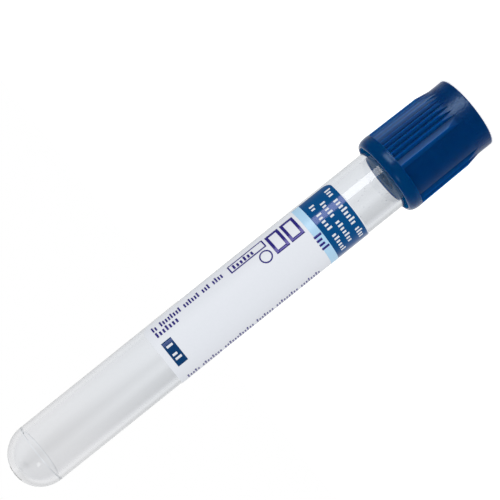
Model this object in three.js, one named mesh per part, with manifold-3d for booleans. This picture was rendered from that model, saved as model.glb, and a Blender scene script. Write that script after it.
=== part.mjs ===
// A 13 x 100 mm blood collection tube, closed and unused.
// It stands on the flat top ring of its closure, with the round end of the tube up.
// Row frame: millimetres, +Z up, origin at the centre of that ring.
// Angles are in degrees about +Z, counted from +X.

import * as THREE from 'three';
import { mergeVertices } from 'three/addons/utils/BufferGeometryUtils.js';
import Module from 'manifold-3d';

const wasm = await Module();
wasm.setup();

// ---- Driving dimensions ----------------------------------------------------

// Every turned surface has the same facets, so nested walls stay parallel.
const FACETS = 60;
const ARC_STEPS = 6;                // straight steps in a small round
const DOME_STEPS = 10;              // straight steps from the dome's edge to its tip

// Tube: clear polyester, moulded in one piece.
const TUBE_LENGTH = 100;            // rim to the tip of the round end
const TUBE_RIM_R = 6.5;             // outside radius at the rim
const TUBE_DRAFT_DEG = 0.1;         // mould draft, narrowing towards the round end
const TUBE_WALL = 1.14;
const TUBE_RIM_ROUND = 0.3;
const GATE_R = 1.7;                 // flat witness of the mould gate on the tip
const PARTING_RISE = 0.05;          // fine ring left by the mould below the dome
const PARTING_HALF = 0.3;           // half its height

// Closure shield: the outer moulding. Heights run from its flat top ring.
const SHIELD_WALL = 0.58;           // wall of the plain cylinder by the top ring
const SHIELD_TOP_FILLET = 0.4;
const PANEL_FLARE = 0.14;           // the smooth panels widen by this towards the bead
const WELL_R = 4.3;                 // needle hole in the inner ledge
const FUNNEL_WIDTH = 1.1;           // the hole's mouth is this much wider
const FUNNEL_DEPTH = 1.7;
const LEDGE_LAND = 1.2;             // straight part of the hole, down to the ledge's face
const LIP_HEIGHT = 0.8;             // retaining lip under the stopper's flange
const SKIRT_REACH = 8.8;            // the skirt covers this length of the tube
const RIM_FLARE_WIDTH = 0.25;       // the bore opens a little at the skirt's rim
const RIM_FLARE_LENGTH = 1.6;

// Bead around the skirt's open end.
const BEAD_RISE = 0.755;            // bead above the plain cylinder
const NOSE_LENGTH = 2.05;           // rounded end
const NOSE_WIDTH = 0.935;
const LAND_LENGTH = 0.72;           // plain band between the nose and the ribs

// Finger ribs: V ridges in groups, with a smooth panel between the groups.
const RIB_GROUPS = 2;
const RIBS_PER_GROUP = 12;
const FIRST_PANEL_DEG = 236.4;      // direction of one panel's middle
const PANEL_DEG = 48;
const END_RIB_HALF_DEG = 8.4;       // the last ridge at each end of a group is wider
const GROOVE_RISE = -0.05;          // heights above the plain cylinder: the grooves reach into it
const CREST_RISE = 0.72;
const CREST_RISE_AT_RAMP = 0.53;    // the crests are trimmed to this at their ramps
const CREST_RISE_AT_BEAD = 0.7;
const RAMP_START = 3.4;
const RAMP_LENGTH = 3.2;

// Stopper: one piece of rubber.
const STOPPER_HEAD = 8.7;           // the part above the tube's rim
const STOPPER_FLANGE = 3;           // height of the head's widest band
const HEAD_TAPER = 1;               // the head's top is this much narrower in radius
const STOPPER_WELL_STEP = 0.4;      // the rubber well is narrower than the shield's hole
const STOPPER_WELL_DEPTH = 4.8;
const STOPPER_DISH = 1.6;           // height of the well's rounded floor
const PLUG_LENGTH = 9.1;
const PLUG_CHAMFER = 0.4;
const SEPTUM = 5.1;                 // rubber that the needle goes through
const RECESS_WALL = 2.5;            // plug wall at the mouth of its lower recess
const RECESS_TAPER = 0.5;

// Label: a thin sheet round most of the tube, with a clear strip left open.
const LABEL_FROM_RIM = 17.9;
const LABEL_LENGTH = 46.2;
const LABEL_START_DEG = 50;
const LABEL_SWEEP_DEG = 290;
const LABEL_CORNER = 2.1;
const LABEL_THICK = 0.08;

// Printed fields on the label.
const INK_THICK = 0.03;
const PRINT_MARGIN = 0.25;          // white border round the header
const HEADER_LENGTH = 7.4;
const BAND_LENGTH = 1.75;
const SMALL_BOX_DEG = 262;          // direction of the small box's middle
const SMALL_BOX_WIDTH = 5.6;        // round the tube
const SMALL_BOX_LENGTH = 2.3;       // along the tube
const SMALL_BOX_MARGIN = 1.4;       // to the label's far edge

// ---- Clearances --------------------------------------------------------------

const SEAT_GAP = 0.3;               // between pieces that bear on each other
const SKIRT_GAP = 0.7;              // tube to the bore of the skirt
const TURN_GAP = 0.2;               // stopper's flange in that bore
const LIP_GAP = 0.3;                // tube in the retaining lip
const PLUG_GAP = 0.12;              // plug in the tube
const SHEET_GAP = 0.02;             // adhesive under the label
const INK_GAP = 0.015;
const CUT_OVER = 1;                 // a cutter runs this far past what it cuts

// ---- Sizes and places that follow ----------------------------------------------

const RAD = Math.PI / 180;
const draft = Math.tan(TUBE_DRAFT_DEG * RAD);

// In the tube's own frame the rim is at height 0 and the round end is up.
const domeR = (TUBE_RIM_R - draft * TUBE_LENGTH) / (1 - draft);
const domeCentre = TUBE_LENGTH - domeR;
const tubeBoreR = TUBE_RIM_R - TUBE_WALL;
const tubeRadius = (z) => TUBE_RIM_R - draft * z;

// In the closure's frame the top ring is at height 0 and the skirt is up.
const ledge = FUNNEL_DEPTH + LEDGE_LAND;
const stopperTop = ledge + SEAT_GAP;
const flangeFace = stopperTop + STOPPER_HEAD;
const tubeSeat = flangeFace + SEAT_GAP;
const shieldLength = tubeSeat + SKIRT_REACH;
const noseStart = shieldLength - NOSE_LENGTH;
const landStart = noseStart - LAND_LENGTH;
const boreR = TUBE_RIM_R + SKIRT_GAP;
const topR = boreR + SHIELD_WALL;
const beadR = topR + BEAD_RISE;

const label = {
  from: LABEL_START_DEG,
  to: LABEL_START_DEG + LABEL_SWEEP_DEG,
  low: LABEL_FROM_RIM,
  high: LABEL_FROM_RIM + LABEL_LENGTH,
};

// ---- Solid helpers ---------------------------------------------------------------

function toSolid(geometry) {
  geometry.deleteAttribute('normal');
  geometry.deleteAttribute('uv');
  const merged = mergeVertices(geometry, 1e-5);
  const corners = merged.index.array;
  const kept = [];
  for (let i = 0; i < corners.length; i += 3) {
    const [a, b, c] = corners.slice(i, i + 3);
    if (a !== b && b !== c && c !== a) kept.push(a, b, c);
  }
  return new wasm.Manifold(new wasm.Mesh({
    numProp: 3,
    vertProperties: Float32Array.from(merged.attributes.position.array),
    triVerts: Uint32Array.from(kept),
  }));
}

function toMesh(name, solid, material) {
  const { vertProperties, triVerts } = solid.getMesh();
  const geometry = new THREE.BufferGeometry();
  geometry.setAttribute('position', new THREE.BufferAttribute(vertProperties.slice(), 3));
  geometry.setIndex(new THREE.BufferAttribute(triVerts.slice(), 1));
  geometry.computeVertexNormals();
  const mesh = new THREE.Mesh(geometry, material);
  mesh.name = name;
  return mesh;
}

// Turns a section about +Z. Its points are [radius, height], going up on the outside.
function revolve(section) {
  const points = section.map(([r, z]) => new THREE.Vector2(r, z));
  const geometry = new THREE.LatheGeometry(points, FACETS, Math.PI / 2);
  geometry.rotateX(Math.PI / 2);
  return toSolid(geometry);
}

// Points along an ellipse about [r, z] with half axes [a, b], between two angles.
function arc([r, z], [a, b], from, to, steps = ARC_STEPS) {
  const points = [];
  for (let i = 0; i <= steps; i += 1) {
    const t = (from + (to - from) * i / steps) * RAD;
    points.push([r + a * Math.cos(t), z + b * Math.sin(t)]);
  }
  return points;
}

function polar(r, degrees) {
  return new THREE.Vector2(r * Math.cos(degrees * RAD), r * Math.sin(degrees * RAD));
}

// ---- Tube ------------------------------------------------------------------------

function makeTube() {
  const round = Math.min(TUBE_RIM_ROUND, TUBE_WALL / 2);
  const gateDeg = Math.asin(GATE_R / domeR) / RAD;
  const ring = domeCentre - PARTING_HALF;
  const ringStart = ring - PARTING_HALF;
  const innerR = domeR - TUBE_WALL;
  return revolve([
    ...arc([tubeBoreR + round, round], [round, round], 180, 270, 3),
    ...arc([TUBE_RIM_R - round, round], [round, round], 270, 360, 3),
    [tubeRadius(ringStart), ringStart],
    [tubeRadius(ring) + PARTING_RISE, ring],
    ...arc([0, domeCentre], [domeR, domeR], 0, 90 - gateDeg, DOME_STEPS),
    [GATE_R, TUBE_LENGTH],
    [0, TUBE_LENGTH],
    ...arc([0, domeCentre], [innerR, innerR], 90, 0, DOME_STEPS),
    [tubeBoreR, round],
  ]);
}

// ---- Closure shield ----------------------------------------------------------------

function shieldBody() {
  const f = SHIELD_TOP_FILLET;
  return revolve([
    [0, 0],
    ...arc([topR - f, f], [f, f], 270, 360, 4),
    [topR, RAMP_START],
    [topR + PANEL_FLARE, landStart],
    [beadR, landStart],
    ...arc([beadR - NOSE_WIDTH, noseStart], [NOSE_WIDTH, NOSE_LENGTH], 0, 90, 8),
    [0, shieldLength],
  ]);
}

// The ridges of one group in section, from one panel to the next.
function ribGroup(start) {
  const groupDeg = 360 / RIB_GROUPS - PANEL_DEG;
  const pitch = (groupDeg - 4 * END_RIB_HALF_DEG) / RIBS_PER_GROUP;
  const halves = [END_RIB_HALF_DEG, END_RIB_HALF_DEG];
  for (let i = 0; i < RIBS_PER_GROUP; i += 1) halves.push(pitch / 2, pitch / 2);
  halves.push(END_RIB_HALF_DEG, END_RIB_HALF_DEG);

  const foot = topR - TURN_GAP;
  const points = [polar(foot, start)];
  let at = start;
  halves.forEach((half, i) => {
    at += half;
    const rise = i % 2 === 0 ? CREST_RISE : GROOVE_RISE;
    points.push(polar(i === halves.length - 1 ? foot : topR + rise, at));
  });
  return points;
}

// One ring of ridges, trimmed to their ramps and crests by a turned envelope.
function ribRing() {
  const outline = [];
  for (let g = 0; g < RIB_GROUPS; g += 1) {
    outline.push(...ribGroup(FIRST_PANEL_DEG + PANEL_DEG / 2 + g * 360 / RIB_GROUPS));
  }
  const ridges = new THREE.ExtrudeGeometry(new THREE.Shape(outline), {
    depth: landStart + LAND_LENGTH / 2 - RAMP_START, bevelEnabled: false,
  });
  ridges.translate(0, 0, RAMP_START);
  const envelope = revolve([
    [0, 0],
    [topR, 0],
    [topR, RAMP_START],
    [topR + CREST_RISE_AT_RAMP, RAMP_START + RAMP_LENGTH],
    [topR + CREST_RISE_AT_BEAD, landStart],
    [topR + CREST_RISE_AT_BEAD, noseStart],
    [0, noseStart],
  ]);
  return toSolid(ridges).intersect(envelope);
}

function shieldBore() {
  const lipR = TUBE_RIM_R + LIP_GAP;
  const mouthR = WELL_R + FUNNEL_WIDTH * (1 + CUT_OVER / FUNNEL_DEPTH);
  return revolve([
    [0, -CUT_OVER],
    [mouthR, -CUT_OVER],
    [WELL_R, FUNNEL_DEPTH],
    [WELL_R, ledge],
    [boreR, ledge],
    [boreR, tubeSeat],
    [lipR, tubeSeat],
    [lipR, tubeSeat + LIP_HEIGHT / 2],
    [boreR, tubeSeat + LIP_HEIGHT],
    [boreR, shieldLength - RIM_FLARE_LENGTH],
    [boreR + RIM_FLARE_WIDTH, shieldLength],
    [boreR + RIM_FLARE_WIDTH, shieldLength + CUT_OVER],
    [0, shieldLength + CUT_OVER],
  ]);
}

function makeShield() {
  return shieldBody().add(ribRing()).subtract(shieldBore());
}

// ---- Stopper ---------------------------------------------------------------------

function makeStopper() {
  const flangeR = boreR - TURN_GAP;
  const wellR = WELL_R - STOPPER_WELL_STEP;
  const wellFloor = stopperTop + STOPPER_WELL_DEPTH;
  const dish = arc([0, wellFloor - STOPPER_DISH], [wellR, STOPPER_DISH], 90, 0);
  const plugR = tubeBoreR - PLUG_GAP;
  const plugEndR = plugR - draft * PLUG_LENGTH;
  const plugEnd = flangeFace + PLUG_LENGTH;
  const recessR = plugEndR - RECESS_WALL;
  return revolve([
    ...dish,
    [wellR, stopperTop],
    [flangeR - HEAD_TAPER, stopperTop],
    [flangeR, flangeFace - STOPPER_FLANGE],
    [flangeR, flangeFace],
    [plugR, flangeFace],
    [plugEndR, plugEnd - PLUG_CHAMFER],
    [plugEndR - PLUG_CHAMFER, plugEnd],
    [recessR, plugEnd],
    [recessR - RECESS_TAPER, wellFloor + SEPTUM],
    [0, wellFloor + SEPTUM],
  ]);
}

// ---- Label and its print -------------------------------------------------------------

// A flat sheet bent round the tube over the patch { from, to, low, high }.
function wrap(patch, lift, thick) {
  const sweep = patch.to - patch.from;
  const height = patch.high - patch.low;
  const steps = Math.ceil(sweep / (360 / FACETS));
  const sheet = new THREE.BoxGeometry(sweep, thick, height, steps, 1, 1);
  const points = sheet.attributes.position;
  for (let i = 0; i < points.count; i += 1) {
    const z = points.getZ(i) + patch.low + height / 2;
    const outward = lift + points.getY(i) + thick / 2;
    const angle = patch.to - sweep / 2 - points.getX(i);
    const p = polar(tubeRadius(z) + outward, angle);
    points.setXYZ(i, p.x, p.y, z);
  }
  return toSolid(sheet);
}

// The material outside a rounded corner, as a prism that crosses the sheet.
function cornerCutter(radius) {
  const spandrel = new THREE.Shape();
  spandrel.moveTo(-CUT_OVER, -CUT_OVER);
  spandrel.lineTo(radius, -CUT_OVER);
  spandrel.lineTo(radius, 0);
  spandrel.absarc(radius, radius, radius, -Math.PI / 2, -Math.PI, true);
  spandrel.lineTo(-CUT_OVER, radius);
  spandrel.closePath();
  const prism = new THREE.ExtrudeGeometry(spandrel, {
    depth: 2 * CUT_OVER, bevelEnabled: false, curveSegments: ARC_STEPS,
  });
  prism.translate(0, 0, -CUT_OVER);
  return prism;
}

// Rounds one corner. The cutter's corner turns to face the patch's own corner.
function roundCorner(sheet, angle, z, quarterTurns, radius) {
  const prism = cornerCutter(radius);
  const p = polar(tubeRadius(z), angle);
  const outward = new THREE.Vector3(p.x, p.y, 0).normalize();
  const up = new THREE.Vector3(0, 0, 1);
  const along = new THREE.Vector3().crossVectors(up, outward);
  const facing = new THREE.Matrix4().makeBasis(along, up, outward);
  facing.setPosition(p.x, p.y, z);
  prism.rotateZ(quarterTurns * Math.PI / 2);
  prism.applyMatrix4(facing);
  return sheet.subtract(toSolid(prism));
}

function roundLowCorners(sheet, patch, radius) {
  const first = roundCorner(sheet, patch.from, patch.low, 0, radius);
  return roundCorner(first, patch.to, patch.low, 1, radius);
}

function roundHighCorners(sheet, patch, radius) {
  const first = roundCorner(sheet, patch.to, patch.high, 2, radius);
  return roundCorner(first, patch.from, patch.high, 3, radius);
}

function makeLabel() {
  const sheet = wrap(label, SHEET_GAP, LABEL_THICK);
  return roundHighCorners(roundLowCorners(sheet, label, LABEL_CORNER), label, LABEL_CORNER);
}

const ink = (patch) => wrap(patch, SHEET_GAP + LABEL_THICK + INK_GAP, INK_THICK);
const degreesAround = (length) => length / TUBE_RIM_R / RAD;

// The header and the band share one frame, a thin white border inside the label.
const margin = degreesAround(PRINT_MARGIN);
const header = {
  from: label.from + margin,
  to: label.to - margin,
  low: label.low + PRINT_MARGIN,
  high: label.low + PRINT_MARGIN + HEADER_LENGTH,
};

function makeHeader() {
  return roundLowCorners(ink(header), header, LABEL_CORNER - PRINT_MARGIN);
}

function makeBand() {
  return ink({ ...header, low: header.high, high: header.high + BAND_LENGTH });
}

function makeSmallBox() {
  const half = degreesAround(SMALL_BOX_WIDTH) / 2;
  const high = label.high - SMALL_BOX_MARGIN;
  return ink({
    from: SMALL_BOX_DEG - half,
    to: SMALL_BOX_DEG + half,
    low: high - SMALL_BOX_LENGTH,
    high,
  });
}

// ---- Materials -----------------------------------------------------------------------

function plastic(color, roughness, more = {}) {
  return new THREE.MeshStandardMaterial({ color, roughness, metalness: 0, ...more });
}

const clearPolyester = plastic(0xe6eaee, 0.05, { transparent: true, opacity: 0.35 });
const bluePolypropylene = plastic(0x0b3a76, 0.35);
const greyRubber = plastic(0x3d4656, 0.6);
const whiteFilm = plastic(0xf2f2f6, 0.45);
const navyInk = plastic(0x1b4680, 0.4);
const paleInk = plastic(0xa3d0ec, 0.45);

// ---- Assembly ---------------------------------------------------------------------

const closure = new THREE.Group();
closure.add(toMesh('closure_shield', makeShield(), bluePolypropylene));
closure.add(toMesh('stopper', makeStopper(), greyRubber));

const labelledTube = new THREE.Group();
labelledTube.position.z = tubeSeat;
labelledTube.add(toMesh('tube', makeTube(), clearPolyester));
labelledTube.add(toMesh('label', makeLabel(), whiteFilm));
labelledTube.add(toMesh('label_navy_header', makeHeader(), navyInk));
labelledTube.add(toMesh('label_pale_band', makeBand(), paleInk));
labelledTube.add(toMesh('label_navy_box', makeSmallBox(), navyInk));

const collectionTube = new THREE.Group();
collectionTube.add(closure, labelledTube);

export default collectionTube;
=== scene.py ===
# %% [markdown]
# # A blood collection tube
#
# The object is a clear plastic tube, 13 mm wide and 100 mm long, that a laboratory fills with blood.
# It has four physical pieces: the tube, a rubber stopper, a ribbed plastic shield that covers the stopper,
# and a label wrapped most of the way round.
# It stands on the flat ring of its closure, with its round end up.
#
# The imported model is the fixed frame. It gives every size and place, so a new mesh needs no fitting.

# %% Load the frame
import math
import random

import bmesh
import bpy
import numpy as np
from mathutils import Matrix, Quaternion, Vector


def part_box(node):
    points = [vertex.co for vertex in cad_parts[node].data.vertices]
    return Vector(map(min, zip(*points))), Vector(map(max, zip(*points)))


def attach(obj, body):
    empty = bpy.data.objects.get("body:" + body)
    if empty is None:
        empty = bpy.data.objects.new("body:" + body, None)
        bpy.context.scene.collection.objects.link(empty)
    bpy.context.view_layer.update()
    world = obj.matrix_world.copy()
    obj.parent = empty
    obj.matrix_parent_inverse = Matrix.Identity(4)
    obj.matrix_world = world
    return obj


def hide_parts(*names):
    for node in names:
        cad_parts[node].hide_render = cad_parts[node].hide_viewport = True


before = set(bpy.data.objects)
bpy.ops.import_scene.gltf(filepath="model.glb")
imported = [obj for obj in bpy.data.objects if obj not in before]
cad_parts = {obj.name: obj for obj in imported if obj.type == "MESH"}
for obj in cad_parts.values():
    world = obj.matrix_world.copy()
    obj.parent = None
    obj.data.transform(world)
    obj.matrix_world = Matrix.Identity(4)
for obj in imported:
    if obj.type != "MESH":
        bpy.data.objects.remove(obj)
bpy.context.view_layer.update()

MM = 0.001
print("pieces in the frame:", sorted(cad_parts))

# %% [markdown]
# ## Sizes from the frame
#
# A mesh is easier to think about in millimetres, so a small helper reads a node's box and gives its
# lowest height, its highest height and its largest radius. The wall of the tube can't be read from a box.
# It is the one thing that the refraction depends on, so it is a named value.

# %% Sizes
def span(node):
    """The lowest height, the highest height and the largest radius of a node, in mm."""
    low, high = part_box(node)
    radius = max(-low.x, -low.y, high.x, high.y)
    return low.z / MM, high.z / MM, radius / MM


rim, tip, tube_r = span("tube")
ring_plane, skirt_end, bead_r = span("closure_shield")
stopper_top, plug_end, flange_r = span("stopper")
label_low, label_high, _ = span("label")
header_low, header_high, _ = span("label_navy_header")
band_low, band_high, _ = span("label_pale_band")
box_low, box_high, _ = span("label_navy_box")

WALL = 1.14                 # tube wall
DRAFT = math.tan(math.radians(0.1))
dome_r = (tube_r - DRAFT * (tip - rim)) / (1 - DRAFT)
dome_z = tip - dome_r
bore_r = tube_r - WALL


def tube_radius(z):
    """Outside radius of the tube at a height, in mm: it narrows a little towards the round end."""
    return tube_r - DRAFT * (z - rim)


print("tube from", round(rim, 2), "to", round(tip, 2), "mm, dome radius", round(dome_r, 2))

# %% [markdown]
# ## Camera
#
# The object is small, so it is seen from a third of a metre with a long lens. The camera is rolled about
# its own axis, so that the standing tube lies across the picture with its closure at the upper right.

# %% Camera
EYE_DISTANCE = 0.3324
EYE_HEIGHT = 0.0726
AIM = Vector((0.0054, 0, 0.0501))
ROLL = math.radians(-128.65)
LENS = 123.84

camera = bpy.data.objects.new("camera", bpy.data.cameras.new("camera"))
bpy.context.scene.collection.objects.link(camera)
bpy.context.scene.camera = camera
camera.data.lens = LENS
camera.data.clip_start = 0.01
camera.location = (0, -EYE_DISTANCE, EYE_HEIGHT)
camera.rotation_mode = "QUATERNION"
look = (AIM - camera.location).to_track_quat("-Z", "Y")
camera.rotation_quaternion = look @ Quaternion((0, 0, 1), ROLL)
bpy.context.scene.view_settings.view_transform = "Standard"
look_down = math.degrees(math.atan2(EYE_HEIGHT - AIM.z, EYE_DISTANCE))
print("camera looks down by", round(look_down, 1), "degrees")

# %% [markdown]
# ## Helpers for materials
#
# Every finish starts from one Principled shader. Small helpers keep the recipes short: they start a finish,
# add a node with its values, make a noise, tint it, blend two colours and bump the skin by any texture.
# The textures use object coordinates, so their grain has one real size on every piece.

# %% Material helpers
def start_finish(name, color, roughness, **values):
    """A material with one Principled shader. Returns the material, its node tree and its shader."""
    finish = bpy.data.materials.new(name)
    finish.use_nodes = True
    tree = finish.node_tree
    shader = tree.nodes["Principled BSDF"]
    shader.inputs["Base Color"].default_value = (*color, 1)
    shader.inputs["Roughness"].default_value = roughness
    for socket, value in values.items():
        shader.inputs[socket.replace("_", " ")].default_value = value
    return finish, tree, shader


def add(tree, kind, **values):
    """Adds a node. Values named after sockets set them, and sockets are linked straight in."""
    node = tree.nodes.new(kind)
    for name, value in values.items():
        socket = node.inputs.get(name.replace("_", " "))
        if socket is None:
            setattr(node, name, value)
        elif isinstance(value, bpy.types.NodeSocket):
            tree.links.new(value, socket)
        else:
            socket.default_value = value
    return node


def noise(tree, size, detail=2, stretch=(1, 1, 1)):
    """A noise about size millimetres across, stretched along X, Y and Z. Returns its value from 0 to 1."""
    place = add(tree, "ShaderNodeTexCoord").outputs["Object"]
    scale = tuple(1 / (MM * size * s) for s in stretch)
    moved = add(tree, "ShaderNodeMapping", Vector=place, Scale=scale).outputs["Vector"]
    return add(tree, "ShaderNodeTexNoise", Vector=moved, Scale=1.0, Detail=detail).outputs["Fac"]


def between(tree, value, low, high, start=0.0, end=1.0):
    """Turns a value that runs from start to end into one that runs from low to high."""
    node = add(tree, "ShaderNodeMapRange", Value=value)
    node.inputs["From Min"].default_value = start
    node.inputs["From Max"].default_value = end
    node.inputs["To Min"].default_value = low
    node.inputs["To Max"].default_value = high
    return node.outputs["Result"]


def times(tree, *values):
    """The product of two or more values."""
    product = values[0]
    for value in values[1:]:
        node = add(tree, "ShaderNodeMath", operation="MULTIPLY")
        tree.links.new(product, node.inputs[0])
        tree.links.new(value, node.inputs[1])
        product = node.outputs["Value"]
    return product


def tint(tree, value, dark, light):
    """A colour that runs from dark to light with a value."""
    ramp = add(tree, "ShaderNodeValToRGB", Fac=value)
    ramp.color_ramp.elements[0].color = (*dark, 1)
    ramp.color_ramp.elements[1].color = (*light, 1)
    return ramp.outputs["Color"]


def across_axis(tree):
    """The place of a point across the Z axis, and its distance from the axis."""
    place = add(tree, "ShaderNodeTexCoord").outputs["Object"]
    flat = add(tree, "ShaderNodeVectorMath", operation="MULTIPLY")
    tree.links.new(place, flat.inputs[0])
    flat.inputs[1].default_value = (1, 1, 0)
    length = add(tree, "ShaderNodeVectorMath", operation="LENGTH")
    tree.links.new(flat.outputs["Vector"], length.inputs[0])
    return flat.outputs["Vector"], length.outputs["Value"]


def step(tree, value, start, end):
    """A value that goes from 0 at start to 1 at end, both in mm."""
    return between(tree, value, 0.0, 1.0, start * MM, end * MM)


def bump(tree, shader, height, depth):
    """Bumps the shader by a height from 0 to 1 that is depth millimetres deep."""
    node = add(tree, "ShaderNodeBump", Height=height, Distance=depth * MM, Strength=1.0)
    tree.links.new(node.outputs["Normal"], shader.inputs["Normal"])


def blend(tree, share, first, second):
    """The first colour where share is 0, the second where it is 1."""
    node = add(tree, "ShaderNodeMix", data_type="RGBA")
    tree.links.new(share, node.inputs["Factor"])
    tree.links.new(first, node.inputs[6])
    tree.links.new(second, node.inputs[7])
    return node.outputs[2]


# %% [markdown]
# ## Helpers for meshes
#
# The tube and the stopper are round, so each is a section turned about the Z axis. A section is a short
# list of points of radius and height, and arcs supply the round stretches.
# A weighted-normal modifier keeps long walls evenly shaded beside their small rounds.

# %% Turned pieces
AROUND = 256


def arc(centre, radii, start, end, steps=8):
    """Points on an ellipse about (radius, height), between two angles in degrees."""
    angles = [math.radians(start + (end - start) * i / steps) for i in range(steps + 1)]
    return [(centre[0] + radii[0] * math.cos(a), centre[1] + radii[1] * math.sin(a)) for a in angles]


def place_mesh(name, vertices, faces, body, node, slot, finish):
    """Makes a smooth mesh with outward faces that rides on a body, and may stand for a CAD node."""
    mesh = bpy.data.meshes.new(name)
    mesh.from_pydata([tuple(c * MM for c in v) for v in vertices], [], faces)
    shell = bmesh.new()
    shell.from_mesh(mesh)
    bmesh.ops.recalc_face_normals(shell, faces=shell.faces)
    shell.to_mesh(mesh)
    shell.free()
    mesh.shade_smooth()
    mesh.materials.append(finish)
    piece = bpy.data.objects.new(name, mesh)
    bpy.context.scene.collection.objects.link(piece)
    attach(piece, body)
    if node:
        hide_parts(node)
    print(name, "has", len(mesh.polygons), "faces")
    return piece


def steady_shading(piece, corner=40):
    """Sharp edges above an angle in degrees, and normals that follow the large faces elsewhere."""
    piece.data.set_sharp_from_angle(angle=math.radians(corner))
    weighted = piece.modifiers.new("steady_shading", "WEIGHTED_NORMAL")
    weighted.keep_sharp = True


def join_rings(rings):
    """Faces between neighbouring rings of vertex numbers, round a closed section."""
    faces = []
    for lower, upper in zip(rings, rings[1:] + rings[:1]):
        for k in range(max(len(lower), len(upper))):
            n = k + 1
            corners = [
                lower[k % len(lower)], lower[n % len(lower)],
                upper[n % len(upper)], upper[k % len(upper)]]
            corners = list(dict.fromkeys(corners))
            if len(corners) > 2:
                faces.append(corners)
    return faces


def turn(section):
    """Vertices and faces of a closed section of (radius, height) turned about Z."""
    vertices, rings = [], []
    for radius, z in section:
        count = 1 if radius < 1e-6 else AROUND
        rings.append(list(range(len(vertices), len(vertices) + count)))
        for k in range(count):
            a = 2 * math.pi * k / AROUND
            vertices.append((radius * math.cos(a), radius * math.sin(a), z))
    return vertices, join_rings(rings)


# %% [markdown]
# ## The clear tube
#
# The real tube is injection moulded in polyester, with a round end, a flat mark with a small nub where the
# plastic entered the mould, and a fine ring where the mould parts. It is modelled with its true inner and
# outer walls, because a clear tube looks right only when light bends at both.
# Its rim has small rounds, and the wall is 1.14 mm thick.

# %% Clear polyester
POLYESTER_IOR = 1.575


def clear_polyester():
    finish, tree, shader = start_finish(
        "clear_polyester", (0.985, 0.99, 0.995), 0.0, IOR=POLYESTER_IOR, Transmission_Weight=1.0)
    flow = noise(tree, 6, detail=1, stretch=(1, 1, 4))
    bump(tree, shader, flow, 0.0008)
    lamp_ray = add(tree, "ShaderNodeLightPath").outputs["Is Shadow Ray"]
    open_way = add(tree, "ShaderNodeBsdfTransparent").outputs["BSDF"]
    mixed = add(tree, "ShaderNodeMixShader", Fac=lamp_ray)
    tree.links.new(shader.outputs["BSDF"], mixed.inputs[1])
    tree.links.new(open_way, mixed.inputs[2])
    tree.links.new(mixed.outputs["Shader"], tree.nodes["Material Output"].inputs["Surface"])
    return finish


# %% Tube mesh
RIM_ROUND = 0.3
GATE_R = 1.7
PARTING_RISE = 0.032
PARTING_HALF = 0.3
PARTING_FOOT = 0.03
PARTING_LIFT = 0.1
GATE_NUB = (0.5, 0.38, 0.2)


def tube_section():
    gate = math.degrees(math.asin(GATE_R / dome_r))
    ring = dome_z - PARTING_HALF + PARTING_LIFT
    start = ring - PARTING_FOOT
    return [
        *arc((bore_r + RIM_ROUND, rim + RIM_ROUND), (RIM_ROUND, RIM_ROUND), 180, 270),
        *arc((tube_r - RIM_ROUND, rim + RIM_ROUND), (RIM_ROUND, RIM_ROUND), 270, 360),
        (tube_radius(start), start),
        (tube_radius(ring) + PARTING_RISE, ring),
        *arc((0, dome_z), (dome_r, dome_r), 0, 90 - gate, 40),
        (GATE_NUB[0], tip - GATE_NUB[2]),
        (GATE_NUB[1], tip),
        (0, tip),
        *arc((0, dome_z), (dome_r - WALL, dome_r - WALL), 90, 0, 40),
    ]


tube_finish = clear_polyester()
tube_piece = place_mesh(
    "clear_tube", *turn(tube_section()), "labelled_tube", "tube", "tube_plastic", tube_finish)
steady_shading(tube_piece)

# %% [markdown]
# ## The dried additive
#
# The real tube is sprayed inside with an additive, which dries into small flat drops near the stopper.
# Each drop is a low dome on the inner wall. They are scattered by a seeded generator, closer together
# near the stopper, and they are one mesh that is part of the tube.

# %% Spray of drops
DROPS = 60
DROP_REACH = 16.0
DROP_LIFT = 0.2


def drop(middle, z, size):
    """Vertices and faces of one low dome on the inner wall, with its flat side just inside the plastic."""
    wall = tube_radius(z) - WALL
    vertices, faces = [], []
    for lift, share in ((-0.1, 1.0), (0.0, 1.0), (0.7, 0.75), (1.0, 0.3)):
        for k in range(10):
            turn_by = 2 * math.pi * k / 10
            a = middle + size * share * math.cos(turn_by) / wall
            r = wall - size * DROP_LIFT * lift
            vertices.append((r * math.cos(a), r * math.sin(a), z + size * share * math.sin(turn_by)))
    for ring in range(3):
        for k in range(10):
            n = (k + 1) % 10
            faces.append((ring * 10 + k, ring * 10 + n, ring * 10 + 10 + n, ring * 10 + 10 + k))
    return vertices, faces + [tuple(range(10)), tuple(range(30, 40))]


def spray():
    chance = random.Random(5)
    vertices, faces = [], []
    for _ in range(DROPS):
        z = plug_end + 0.6 + DROP_REACH * chance.random() ** 1.8
        points, sides = drop(2 * math.pi * chance.random(), z, 0.06 + 0.08 * chance.random() ** 2)
        faces += [tuple(len(vertices) + c for c in side) for side in sides]
        vertices += points
    return vertices, faces


def dried_additive():
    finish, tree, shader = start_finish(
        "dried_additive", (0.8, 0.84, 0.9), 0.7, Specular_IOR_Level=0.2, Alpha=0.3)
    color = tint(tree, noise(tree, 0.2), (0.70, 0.76, 0.84), (0.80, 0.85, 0.92))
    tree.links.new(color, shader.inputs["Base Color"])
    bump(tree, shader, noise(tree, 0.08), 0.002)
    return finish


place_mesh("additive_spray", *spray(), "labelled_tube", None, "tube_plastic", dried_additive())

# %% [markdown]
# ## The rubber stopper
#
# The stopper is one piece of butyl rubber. Its head sits in the shield, its plug in the tube, and a needle
# passes through the thin middle. It is soft and matt, so its edges get rounds and its skin a fine grain.
# The plug's wall is oiled, so that it slides into the tube. There the rubber is glossy.

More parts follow.
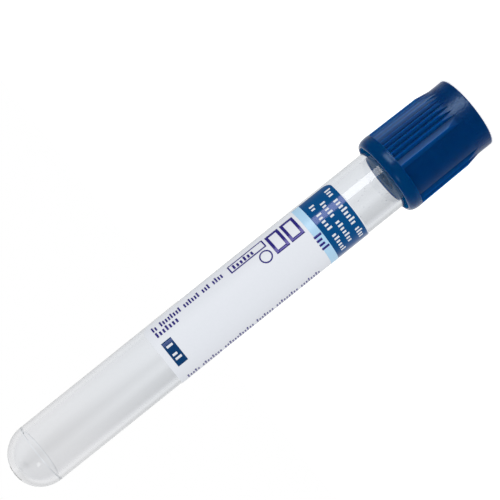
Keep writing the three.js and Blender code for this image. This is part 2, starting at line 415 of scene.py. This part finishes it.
# %% Rubber with a painted blue cast
def rubber_with_painted_blue():
    # The base blue is partly the rubber's own grey and partly a painted reflection of the blue shield.
    finish, tree, shader = start_finish(
        "rubber_with_painted_blue", (0.04, 0.17, 0.38), 0.6, Specular_Tint=(0.6, 0.8, 1.0, 1))
    cloud = noise(tree, 1.6, detail=4)
    tree.links.new(tint(tree, cloud, (0.022, 0.10, 0.23), (0.034, 0.13, 0.29)), shader.inputs["Base Color"])
    _, radius = across_axis(tree)
    oiled = step(tree, radius, bore_r - 0.4, bore_r - 0.25)
    tree.links.new(between(tree, oiled, 0.6, 0.42), shader.inputs["Roughness"])
    tree.links.new(between(tree, oiled, 0.15, 0.55), shader.inputs["Specular IOR Level"])
    bump(tree, shader, noise(tree, 0.4), 0.002)
    return finish


# %% Stopper mesh
HEAD_LENGTH = 8.7
FLANGE = 3.0
HEAD_TAPER = 1.0
WELL_R = 3.9
WELL_DEPTH = 4.8
WELL_DISH = 1.6
SEPTUM = 5.1
PLUG_R = bore_r - 0.12
PLUG_NARROWING = 0.02
RECESS_R = 2.7
RECESS_TAPER = 0.5
SOFT_ROUND = 0.35


def stopper_section():
    flange_face = stopper_top + HEAD_LENGTH
    floor = stopper_top + WELL_DEPTH
    end_r = PLUG_R - PLUG_NARROWING
    return [
        *arc((0, floor - WELL_DISH), (WELL_R, WELL_DISH), 90, 0, 16),
        *arc((WELL_R + SOFT_ROUND, stopper_top + SOFT_ROUND), (SOFT_ROUND, SOFT_ROUND), 180, 270),
        *arc((flange_r - HEAD_TAPER - SOFT_ROUND, stopper_top + SOFT_ROUND),
             (SOFT_ROUND, SOFT_ROUND), 270, 350),
        (flange_r, flange_face - FLANGE),
        *arc((flange_r - SOFT_ROUND, flange_face - SOFT_ROUND), (SOFT_ROUND, SOFT_ROUND), 0, 90),
        (PLUG_R, flange_face),
        *arc((end_r - SOFT_ROUND, plug_end - SOFT_ROUND), (SOFT_ROUND, SOFT_ROUND), 0, 90),
        *arc((RECESS_R + SOFT_ROUND, plug_end - SOFT_ROUND), (SOFT_ROUND, SOFT_ROUND), 90, 180),
        (RECESS_R - RECESS_TAPER, floor + SEPTUM),
        (0, floor + SEPTUM),
    ]


stopper_piece = place_mesh(
    "rubber_stopper", *turn(stopper_section()), "stopper", "stopper", "stopper_rubber", rubber_with_painted_blue())
steady_shading(stopper_piece)

# %% [markdown]
# ## The ribbed shield
#
# The shield is one moulding in blue polypropylene. Two groups of V ridges give the fingers a grip, and two
# smooth panels lie between them. The ridges start in ramps near the top ring and end at a plain bead.
#
# A turned section can't make ridges, so its outside is a height field: the radius is a formula of the
# angle and the height. The columns are placed on the crests and grooves, so that each edge stays crisp.

# %% Ribs as a formula
SHIELD_WALL = 0.58
SKIRT_GAP = 0.7
skirt_bore = tube_r + SKIRT_GAP
top_r = skirt_bore + SHIELD_WALL
nose_start = skirt_end - 2.05
land_start = nose_start - 0.72
PANEL_FLARE = 0.14
PANEL_MIDDLE = 236.4
PANEL_DEG = 48
END_RIDGE_HALF = 8.4
RIDGES = 12
PANEL_EDGE = 1.8
RAMP_START = 3.4
RAMP_END = 6.6
CREST_AT_RAMP = 0.53
CREST_AT_BEAD = 0.70
ridge_pitch = (180 - PANEL_DEG - 4 * END_RIDGE_HALF) / RIDGES


def rises(z):
    """How far the panel, a crest and the ramp rise above the plain cylinder at a height."""
    panel = PANEL_FLARE * max(0, z - RAMP_START) / (land_start - RAMP_START)
    crest = CREST_AT_RAMP + (CREST_AT_BEAD - CREST_AT_RAMP) * (z - RAMP_END) / (land_start - RAMP_END)
    ramp = min(crest, CREST_AT_RAMP * (z - RAMP_START) / (RAMP_END - RAMP_START))
    return panel, crest, ramp


def ridge_columns(z):
    """Angle in degrees and radius of each column at a height: one group of ridges, then its panel."""
    panel, crest, ramp = rises(z)
    cut = min(0.97, max(0.03, (ramp - panel) / (crest - panel)))
    climb = [cut * k / 4 for k in range(4)] + [cut + (1 - cut) * k / 4 for k in range(4)]
    end = (END_RIDGE_HALF - PANEL_EDGE, END_RIDGE_HALF)
    start = at = PANEL_MIDDLE + PANEL_DEG / 2 + PANEL_EDGE
    places = []
    for left, right in [end, *[(ridge_pitch / 2, ridge_pitch / 2)] * RIDGES, end[::-1]]:
        places += [(at + left * share, share) for share in climb]
        places += [(at + left + right * (1 - share), share) for share in [1, *climb[:0:-1]]]
        at += left + right
    places += [(at + (start + 180 - at) * k / 40, 0.0) for k in range(40)]
    return [(a, top_r + min(panel + (crest - panel) * share, max(panel, ramp))) for a, share in places]


# %% Shield mesh
TOP_FILLET = 0.4
NEEDLE_HOLE = 4.3
FUNNEL_WIDTH = 1.1
FUNNEL_DEPTH = 1.7
LEDGE = 2.9
LIP_R = tube_r + 0.3
LIP_HEIGHT = 0.8
RIM_FLARE = 0.25
RIM_FLARE_LENGTH = 1.6
NOSE_WIDTH = 0.935
LINE_DEPTH = 0.022
MOUTH_DROP = 0.1


def bead_section():
    """From the plain band with its fine turned lines, round the nose and in to the funnel."""
    band = []
    for i in range(19):
        z = land_start + 0.02 + (nose_start - land_start - 0.02) * i / 18
        band.append((bead_r - LINE_DEPTH * (i % 6 == 3), z))
    return [
        *band,
        *arc((bead_r - NOSE_WIDTH, nose_start), (NOSE_WIDTH, skirt_end - nose_start), 6, 90, 14),
        (skirt_bore + RIM_FLARE, skirt_end - MOUTH_DROP),
        (skirt_bore, skirt_end - RIM_FLARE_LENGTH),
        (skirt_bore, rim + LIP_HEIGHT),
        (LIP_R, rim + LIP_HEIGHT / 2),
        (LIP_R, rim),
        (skirt_bore, rim),
        (skirt_bore, LEDGE),
        (NEEDLE_HOLE, LEDGE),
        (NEEDLE_HOLE, FUNNEL_DEPTH),
        (NEEDLE_HOLE + FUNNEL_WIDTH, ring_plane),
    ]


def shield_mesh():
    fillet = arc((top_r - TOP_FILLET, ring_plane + TOP_FILLET), (TOP_FILLET, TOP_FILLET), 270, 360, 6)
    ramp = [RAMP_START + (RAMP_END - RAMP_START) * i / 40 for i in range(40)]
    grip = [RAMP_END + (land_start - RAMP_END) * i / 14 for i in range(15)]
    rows = [(z, r, RAMP_START) for r, z in fillet]
    rows += [(z, None, z) for z in ramp + grip]
    rows += [(z, r, land_start) for r, z in bead_section()]
    vertices, rings = [], []
    for z, radius, column_z in rows:
        columns = ridge_columns(column_z)
        columns += [(angle + 180, r) for angle, r in columns]
        rings.append(list(range(len(vertices), len(vertices) + len(columns))))
        for angle, r in columns:
            a, r = math.radians(angle), radius or r
            vertices.append((r * math.cos(a), r * math.sin(a), z))
    return vertices, join_rings(rings)


# %% [markdown]
# The polypropylene is dyed right through. Its skin comes from spark-eroded steel, roughest on the ribs,
# and the bead comes from polished steel. The top ring is worn by fingers into soft lumps.
# The ribs' flanks and crests get a painted lighter blue, for light that comes through the thin plastic,
# and the inside of the skirt gets a painted glow. All of these are masks by height and by radius.

# %% Blue polypropylene
def shield_masks(tree):
    """Values from 0 to 1: off the bead, on the top ring, on a rib, near its crest, inside the skirt."""
    place = add(tree, "ShaderNodeTexCoord").outputs["Object"]
    height = add(tree, "ShaderNodeSeparateXYZ", Vector=place).outputs["Z"]
    _, radius = across_axis(tree)
    below_bead = step(tree, height, land_start + 0.1, land_start)
    ridged = times(tree, step(tree, height, RAMP_START, RAMP_START + 0.5), below_bead)
    crest_r = between(tree, height, (top_r + CREST_AT_RAMP) * MM, (top_r + CREST_AT_BEAD) * MM,
                      RAMP_END * MM, land_start * MM)
    under = add(tree, "ShaderNodeMath", operation="SUBTRACT")
    tree.links.new(radius, under.inputs[0])
    tree.links.new(crest_r, under.inputs[1])
    return {
        "below": below_bead,
        "ring": step(tree, height, RAMP_START + 0.5, RAMP_START - 0.2),
        "rib": times(tree, ridged, step(tree, radius, top_r + 0.14, top_r + 0.24)),
        "crest": times(tree, ridged, step(tree, under.outputs["Value"], -0.2, -0.05)),
        # This mask carries the painted glow inside the skirt.
        "inside": times(
            tree, step(tree, radius, skirt_bore + 0.35, skirt_bore + 0.2),
            step(tree, height, rim, rim + 2)),
    }


def shield_color(tree, masks):
    """Darker below the bead; a painted lighter blue on the ribs' flanks and crests, for light through thin
    ridges.
    """
    cloud = noise(tree, 3.0, detail=3)
    polished = tint(tree, cloud, (0.0, 0.04, 0.15), (0.0, 0.055, 0.19))
    below_bead_blue = tint(tree, cloud, (0.0, 0.029, 0.134), (0.0, 0.040, 0.166))
    # Painted light: the flank and crest blues are lighter, standing in for light that comes through the thin
    # ridges.
    flank_painted_light = tint(tree, cloud, (0.0, 0.046, 0.19), (0.0, 0.057, 0.225))
    edge = tint(tree, cloud, (0.0, 0.068, 0.26), (0.0, 0.08, 0.30))
    color = blend(tree, masks["below"], polished, below_bead_blue)
    return blend(tree, masks["crest"], blend(tree, masks["rib"], color, flank_painted_light), edge)


def blue_polypropylene():
    finish, tree, shader = start_finish(
        "blue_polypropylene", (0.0, 0.05, 0.17), 0.3, IOR=1.49, Specular_Tint=(0.55, 0.75, 1.0, 1),
        Subsurface_Weight=1.0, Subsurface_Radius=(0.1, 0.35, 0.7), Subsurface_Scale=MM,
        Emission_Strength=1.0)
    masks = shield_masks(tree)
    tree.links.new(shield_color(tree, masks), shader.inputs["Base Color"])
    # Painted glow: a faint blue emission inside the skirt stands in for light that comes through the
    # plastic.
    tree.links.new(tint(tree, masks["inside"], (0, 0, 0), (0, 0.03, 0.09)), shader.inputs["Emission Color"])
    tree.links.new(between(tree, masks["below"], 0.5, 0.7), shader.inputs["Specular IOR Level"])
    wear = between(tree, noise(tree, 0.9, detail=3), 0.88, 1.12)
    satin = between(tree, masks["rib"], 0.3, 0.44)
    rough = times(tree, satin, between(tree, masks["below"], 0.7, 1.0), wear)
    tree.links.new(rough, shader.inputs["Roughness"])
    grain = between(tree, noise(tree, 0.15), 0.0, 0.03)
    lumps = times(tree, between(tree, noise(tree, 0.6), 0.0, 2.6), masks["ring"])
    skin = add(tree, "ShaderNodeMath", operation="ADD")
    tree.links.new(grain, skin.inputs[0])
    tree.links.new(lumps, skin.inputs[1])
    bump(tree, shader, skin.outputs["Value"], 0.03)
    return finish


shield_piece = place_mesh(
    "ribbed_shield", *shield_mesh(), "closure", "closure_shield", "shield_plastic", blue_polypropylene())
steady_shading(shield_piece, corner=25)

# %% [markdown]
# ## The label
#
# The label is one thin white film wrapped nearly all the way round, with rounded corners and a clear strip
# left open to see the level of the blood. It is drawn flat, as a grid whose columns shorten at the rounded
# corners, and then bent round the tube. A solidify modifier gives it the thickness of film.
# The same helper bends every printed field, so print always lies true on the film.

# %% Films bent round the tube
LABEL_MIDDLE = 195.0
LABEL_SWEEP = 290.0
LABEL_CORNER = 2.1
FILM = 0.08
FILM_GAP = 0.02
INK = 0.02
MARGIN = 0.25


def bend(along, z, lift):
    """A point that lies along millimetres round the tube from straight ahead of +X, lifted off its wall."""
    a = along / tube_r
    r = tube_radius(z) + lift
    return (r * math.cos(a), r * math.sin(a), z)


def around(degrees):
    """The distance round the tube for an angle, in mm."""
    return math.radians(degrees) * tube_r


def corner_drop(distance, corner):
    """How much a column shortens at a distance from the sheet's side, for a rounded corner."""
    if distance >= corner:
        return 0.0
    return corner - math.sqrt(max(0.0, corner ** 2 - (corner - distance) ** 2))


def sheet_grid(left, right, low, high, low_corner=0.0, high_corner=0.0):
    """A flat grid of (along, z) points and its faces, with rounded corners low and high.
    A narrow row at each end keeps the gloss even right up to the edge."""
    corner = max(low_corner, high_corner)
    ends = [corner * (1 - math.cos(math.pi / 2 * i / 8)) for i in range(8)] if corner else [0.0]
    middle_steps = max(1, math.ceil((right - left - 2 * corner) / 0.25))
    width = right - left
    middle = [corner + (width - 2 * corner) * i / middle_steps for i in range(middle_steps + 1)]
    across = ends + middle + [width - e for e in reversed(ends)] if corner else middle
    steps = max(1, math.ceil((high - low) / 1.5))
    rim_row = min(0.05 / (high - low), 0.2)
    levels = [0.0, rim_row, *[j / steps for j in range(1, steps)], 1 - rim_row, 1.0]
    rows = len(levels) - 1
    points, faces = [], []
    for distance in across:
        side = min(distance, width - distance)
        bottom = low + corner_drop(side, low_corner)
        top = high - corner_drop(side, high_corner)
        points += [(left + distance, bottom + (top - bottom) * level) for level in levels]
    for i in range(len(across) - 1):
        for j in range(rows):
            a = i * (rows + 1) + j
            faces.append((a, a + rows + 1, a + rows + 2, a + 1))
    return points, faces


def film(name, shapes, lift, thick, body_node, slot, finish):
    """One mesh of flat shapes bent round the tube at a lift, with a thickness."""
    vertices, faces = [], []
    for points, shape_faces in shapes:
        first = len(vertices)
        vertices += [bend(along, z, lift) for along, z in points]
        faces += [tuple(first + c for c in face) for face in shape_faces]
    piece = place_mesh(name, vertices, faces, "labelled_tube", body_node, slot, finish)
    facing = Vector(piece.data.polygons[0].normal).dot(Vector(piece.data.polygons[0].center))
    solid = piece.modifiers.new("film_thickness", "SOLIDIFY")
    solid.thickness = thick * MM
    solid.offset = 1.0 if facing > 0 else -1.0
    piece.modifiers.new("steady_shading", "WEIGHTED_NORMAL")
    return piece


# %% [markdown]
# White polypropylene film has a faint fibre-like unevenness and a soft gloss. The dark inks are varnished:
# they mirror a lamp as a soft violet band, and a thin sheen greys them where they turn away.
# Its inner side gets a faint painted glow, for daylight that would come through the thin film.

# %% Film and ink finishes
def facing_in(tree):
    """1 where the skin faces the tube's axis, 0 where it faces out."""
    place, _ = across_axis(tree)
    along = add(tree, "ShaderNodeVectorMath", operation="DOT_PRODUCT")
    tree.links.new(place, along.inputs[0])
    tree.links.new(add(tree, "ShaderNodeTexCoord").outputs["Normal"], along.inputs[1])
    return step(tree, along.outputs["Value"], -1, -2)


def film_finish(name, dark, light, roughness, painted_glow=0.0, **values):
    """A printed or plain film with an uneven colour and skin. Its inner side can get a painted glow."""
    finish, tree, shader = start_finish(name, light, roughness, **values)
    cloud = noise(tree, 0.5, detail=4)
    tree.links.new(tint(tree, cloud, dark, light), shader.inputs["Base Color"])
    bump(tree, shader, noise(tree, 0.3, detail=3), 0.002)
    if painted_glow:
        # Painted glow: an emission on the film's inner side stands in for daylight coming through the film.
        glow = tint(tree, facing_in(tree), (0, 0, 0), (painted_glow, painted_glow, painted_glow * 1.03))
        tree.links.new(glow, shader.inputs["Emission Color"])
        shader.inputs["Emission Strength"].default_value = 1.0
    return finish


VARNISH = dict(
    Specular_Tint=(0.65, 0.6, 1.0, 1), Specular_IOR_Level=0.75,
    Sheen_Weight=0.6, Sheen_Roughness=0.3)
# The white film has a painted glow on its inner side.
film_white = film_finish(
    "film_white", (0.84, 0.87, 0.93), (0.87, 0.90, 0.96), 0.5, painted_glow=0.3, Specular_IOR_Level=0.3)
ink_navy = film_finish("ink_navy", (0.0, 0.076, 0.25), (0.0, 0.088, 0.275), 0.13, **VARNISH)
ink_dark = film_finish("ink_dark", (0.0, 0.045, 0.16), (0.0, 0.055, 0.185), 0.2, **VARNISH)
ink_pale = film_finish("ink_pale", (0.47, 0.73, 0.96), (0.50, 0.77, 0.99), 0.3)
ink_violet = film_finish("ink_violet", (0.02, 0.015, 0.20), (0.035, 0.025, 0.26), 0.2, **VARNISH)
ink_white = film_finish("ink_white", (0.84, 0.87, 0.93), (0.87, 0.90, 0.96), 0.4)

# %% Label and fields of colour
label_left = around(LABEL_MIDDLE - LABEL_SWEEP / 2)
label_right = around(LABEL_MIDDLE + LABEL_SWEEP / 2)
label_shape = sheet_grid(label_left, label_right, label_low, label_high, LABEL_CORNER, LABEL_CORNER)
film("label_sheet", [label_shape], FILM_GAP, FILM, "label", "label_film", film_white)

ink_lift = FILM_GAP + FILM
field_left, field_right = label_left + MARGIN, label_right - MARGIN
header_shape = sheet_grid(field_left, field_right, header_low, header_high, LABEL_CORNER - MARGIN)
film("header_field", [header_shape], ink_lift, INK, "label_navy_header", "navy_ink", ink_navy)
band_shape = sheet_grid(field_left, field_right, band_low, band_high)
film("band_field", [band_shape], ink_lift, INK, "label_pale_band", "pale_ink", ink_pale)

BOX_MIDDLE = 262.0
BOX_WIDTH = 5.6
box_left = around(BOX_MIDDLE) - BOX_WIDTH / 2
box_shape = sheet_grid(box_left, box_left + BOX_WIDTH, box_low, box_high)
film("capacity_box", [box_shape], ink_lift, INK, "label_navy_box", "navy_ink", ink_dark)

# %% [markdown]
# ## Print
#
# A real label carries lines of print. This part is plain, so each line is a row of small upright blocks
# in groups. That keeps the grain and the weight of print without a letter in it. Two open boxes, an
# outlined strip and a ring stand where a label has its symbols.
#
# Each shape is drawn flat and bent round the tube by the same helper as the label. All shapes of one ink
# are one mesh, which lies on the film and, for the white ones, on the navy field.

# %% Blocks, frames and rings
BLOCK_WIDTH = 0.52
LOW_BLOCK = 0.74


def patch(along, height):
    """A flat rectangle between two places round the tube and two heights, in any order."""
    return sheet_grid(min(along), max(along), min(height), max(height))


def block_row(along, height, groups, runs_round=True):
    """Upright blocks in groups along a row. They stand on the first side of the span across it."""
    row, across = (along, height) if runs_round else (height, along)
    step = (row[1] - row[0]) / (sum(groups) + len(groups) - 1)
    shapes, place = [], 0
    for count in groups:
        for _ in range(count):
            share = 1.0 if place * 5 % 7 < 2 else LOW_BLOCK
            start = row[0] + step * (place + (1 - BLOCK_WIDTH) / 2)
            width = (start, start + step * BLOCK_WIDTH)
            tall = (across[0], across[0] + (across[1] - across[0]) * share)
            shapes.append(patch(width, tall) if runs_round else patch(tall, width))
            place += 1
        place += 1
    return shapes


def open_box(along, height, stroke):
    """Four strips that frame a rectangle."""
    left, right = min(along), max(along)
    low, high = min(height), max(height)
    return [
        patch((left, right), (low, low + stroke)),
        patch((left, right), (high - stroke, high)),
        patch((left, left + stroke), (low + stroke, high - stroke)),
        patch((right - stroke, right), (low + stroke, high - stroke)),
    ]


def ring_shape(centre, radius, stroke, steps=48):
    """A flat ring about (along, height)."""
    points, faces = [], []
    for i in range(steps):
        c, s = math.cos(2 * math.pi * i / steps), math.sin(2 * math.pi * i / steps)
        points += [(centre[0] + r * c, centre[1] + r * s) for r in (radius, radius - stroke)]
        n = (i + 1) % steps
        faces.append((2 * i, 2 * n, 2 * n + 1, 2 * i + 1))
    return points, faces


# %% White print on the header and the box
row_left, row_right = around(323), around(206)
white_rows = [
    block_row((row_left, row_right), (header_low + 1.95, header_low + 0.65), (3, 8, 4)),
    block_row((around(307), around(216)), (header_low + 4.25, header_low + 3.15), (5, 7)),
    block_row((around(316), around(208)), (header_low + 6.25, header_low + 5.15), (2, 5, 6)),
    block_row((around(280), around(247)), (box_high - 0.45, box_low + 0.45), (1, 2)),
]
white_shapes = [shape for row in white_rows for shape in row]
film("white_print", white_shapes, ink_lift + INK, INK, None, "label_film", ink_white)

# %% Violet print on the film
STROKE = 0.28
THICK_STROKE = 0.62
LOWER_ROW = 32.6
line_end = label_high - 1.5
violet_rows = [
    block_row((around(268.5), around(236)), (band_low + 1.9, band_low + 0.2), (4,)),
    block_row((around(313), around(326)), (line_end, line_end - 17.3), (2, 8, 6, 3, 4), runs_round=False),
    block_row((around(299), around(310)), (line_end, line_end - 5.5), (7,), runs_round=False),
    block_row((around(311), around(322)), (label_high - 21, label_high - 26.2), (6,), runs_round=False),
    block_row(
        (around(190), around(206)), (line_end, line_end - LOWER_ROW), (5, 8, 12, 7, 9, 8), runs_round=False),
    open_box((around(307), around(326.4)), (label_high - 28.8, label_high - 20.3), STROKE),
    open_box((around(282), around(324.6)), (label_high - 32.5, label_high - 29.4), THICK_STROKE),
    open_box((around(282), around(324.6)), (label_high - 36.1, label_high - 33.0), THICK_STROKE),
    [ring_shape((around(291.9), label_high - 27.4), 1.35, STROKE)],
]
violet_shapes = [shape for row in violet_rows for shape in row]
film("violet_print", violet_shapes, ink_lift, 2 * INK, None, "navy_ink", ink_violet)

# %% [markdown]
# ## Floor and light
#
# The floor is a plain pale sheet. Light comes from a bright surround, as in a light tent: it is dim where
# the camera stands and bright at the sides and behind, so a clear tube shows darker in its middle than
# at its edges. One long softbox gives the straight streak that runs the whole length of the tube,
# and a small one, higher up on the other side, gives the soft spot on the round end.
#
# The softboxes are hidden from rays that pass through the plastic, so that no lamp shows as a hard
# rectangle in the clear tube when it is seen from behind.
#
# A camera sees clear plastic, gloss and colour by different rays, so the surround has one ring of
# brightness for each. That is the same as placing black and white cards round a real light tent.

# %% Floor
def pale_floor():
    finish, tree, shader = start_finish("pale_floor", (0.9, 0.9, 0.9), 0.9, Emission_Strength=0.6)
    shader.inputs["Emission Color"].default_value = (1, 1, 1, 1)
    color = tint(tree, noise(tree, 30), (0.88, 0.88, 0.88), (0.92, 0.92, 0.92))
    tree.links.new(color, shader.inputs["Base Color"])
    return finish


bpy.ops.mesh.primitive_plane_add(size=8)
floor = bpy.context.object
floor.name = "floor"
floor.data.materials.append(pale_floor())
floor.visible_glossy = False
floor.visible_transmission = False
floor.visible_diffuse = False
floor.visible_shadow = False

# %% Surround
def way_round(tree):
    """A ray's direction round the object, as a share of a turn: 0.5 is the camera's side, more is -X."""
    way = add(tree, "ShaderNodeTexCoord").outputs["Generated"]
    ahead = add(tree, "ShaderNodeVectorMath", operation="MULTIPLY")
    tree.links.new(way, ahead.inputs[0])
    ahead.inputs[1].default_value = (-1, -1, 1)
    parts = add(tree, "ShaderNodeSeparateXYZ", Vector=ahead.outputs["Vector"])
    angle = add(tree, "ShaderNodeMath", operation="ARCTAN2")
    tree.links.new(parts.outputs["X"], angle.inputs[0])
    tree.links.new(parts.outputs["Y"], angle.inputs[1])
    return between(tree, angle.outputs["Value"], 0.0, 1.0, -math.pi, math.pi)


def ring_of_light(tree, share, stops, color):
    """A background that changes with the direction. A stop is (degrees from the camera, brightness)."""
    ramp = add(tree, "ShaderNodeValToRGB", Fac=share)
    while len(ramp.color_ramp.elements) < len(stops):
        ramp.color_ramp.elements.new(0.5)
    for element, (degrees, level) in zip(ramp.color_ramp.elements, stops):
        element.position = (degrees + 180) / 360
        element.color = (level * color[0], level * color[1], level * color[2], 1)
    return add(tree, "ShaderNodeBackground", Color=ramp.outputs["Color"]).outputs["Background"]


def instead(tree, shader, other, ray):
    """Shows the other shader to one kind of ray."""
    kind = add(tree, "ShaderNodeLightPath").outputs[ray]
    mixed = add(tree, "ShaderNodeMixShader", Fac=kind)
    tree.links.new(shader, mixed.inputs[1])
    tree.links.new(other, mixed.inputs[2])
    return mixed.outputs["Shader"]


def above_and_below(tree, above, below):
    """One background from 5 degrees up, another below the horizon, and a soft change between them."""
    way = add(tree, "ShaderNodeTexCoord").outputs["Generated"]
    up = add(tree, "ShaderNodeSeparateXYZ", Vector=way).outputs["Z"]
    mixed = add(tree, "ShaderNodeMixShader", Fac=between(tree, up, 0.0, 1.0, 0.0, 0.087))
    tree.links.new(below, mixed.inputs[1])
    tree.links.new(above, mixed.inputs[2])
    return mixed.outputs["Shader"]


NEUTRAL = (1.0, 1.0, 1.0)
WARM = (0.985, 0.985, 1.0)
COOL = (0.94, 0.965, 1.0)
LIT = [(-180, 0.60), (-90, 0.76), (-15, 1.0), (60, 0.86), (180, 0.60)]
MIRRORED = [
    (-180, 0.95), (-158, 0.75), (-138, 0.32), (-125, 0.18), (-106, 0.02), (0, 0.01), (60, 0.01), (80, 0.02),
    (97, 0.09), (115, 0.34), (131, 0.5), (158, 0.8), (180, 0.95),
]
SEEN_ABOVE = [
    (-180, 0.72), (-178, 0.76), (-176, 0.83), (-171, 0.86), (-165, 0.84), (-140, 0.90), (-100, 0.85),
    (0, 0.7), (100, 0.85), (140, 0.89), (165, 0.72), (171, 0.74), (174, 0.75), (177, 0.78), (180, 0.72),
]
SEEN_BELOW = [
    (-180, 0.82), (-178, 0.91), (-176, 0.90), (-171, 0.87), (-165, 0.84), (-140, 0.88), (-100, 0.85),
    (0, 0.7), (100, 0.85), (140, 0.84), (165, 0.58), (171, 0.65), (174, 0.70), (177, 0.87), (180, 0.82),
]

world = bpy.data.worlds.new("light_tent")
bpy.context.scene.world = world
world.use_nodes = True
tent = world.node_tree
tent.nodes.clear()
share = way_round(tent)
surround = ring_of_light(tent, share, LIT, NEUTRAL)
surround = instead(tent, surround, ring_of_light(tent, share, MIRRORED, NEUTRAL), "Is Glossy Ray")
above = ring_of_light(tent, share, SEEN_ABOVE, WARM)
below = ring_of_light(tent, share, SEEN_BELOW, COOL)
surround = instead(tent, surround, above_and_below(tent, above, below), "Is Transmission Ray")
white = add(tent, "ShaderNodeBackground", Color=(1, 1, 1, 1)).outputs["Background"]
surround = instead(tent, surround, white, "Is Camera Ray")
add(tent, "ShaderNodeOutputWorld", Surface=surround)
world.cycles.sampling_method = "NONE"

# %% Softbox
SOFTBOX_DISTANCE = 0.6


def softbox(name, side, width, low, high, brightness):
    """A tall flat light that faces the tube's axis. Its brightness doesn't change with its size."""
    lamp = bpy.data.lights.new(name, "AREA")
    lamp.shape = "RECTANGLE"
    lamp.size = width
    lamp.size_y = high - low
    lamp.energy = brightness * math.pi * lamp.size * lamp.size_y
    light = bpy.data.objects.new(name, lamp)
    bpy.context.scene.collection.objects.link(light)
    a = math.radians(side)
    away = Vector((-math.sin(a), -math.cos(a), 0))
    light.location = away * SOFTBOX_DISTANCE + Vector((0, 0, (low + high) / 2))
    light.rotation_mode = "QUATERNION"
    light.rotation_quaternion = (-away).to_track_quat("-Z", "Y")
    light.visible_diffuse = False
    light.visible_transmission = False


softbox("streak_softbox", -33.7, 0.30, -0.42, 0.08, 3.9)
softbox("high_softbox", 26, 0.17, 0.30, 0.44, 2.2)
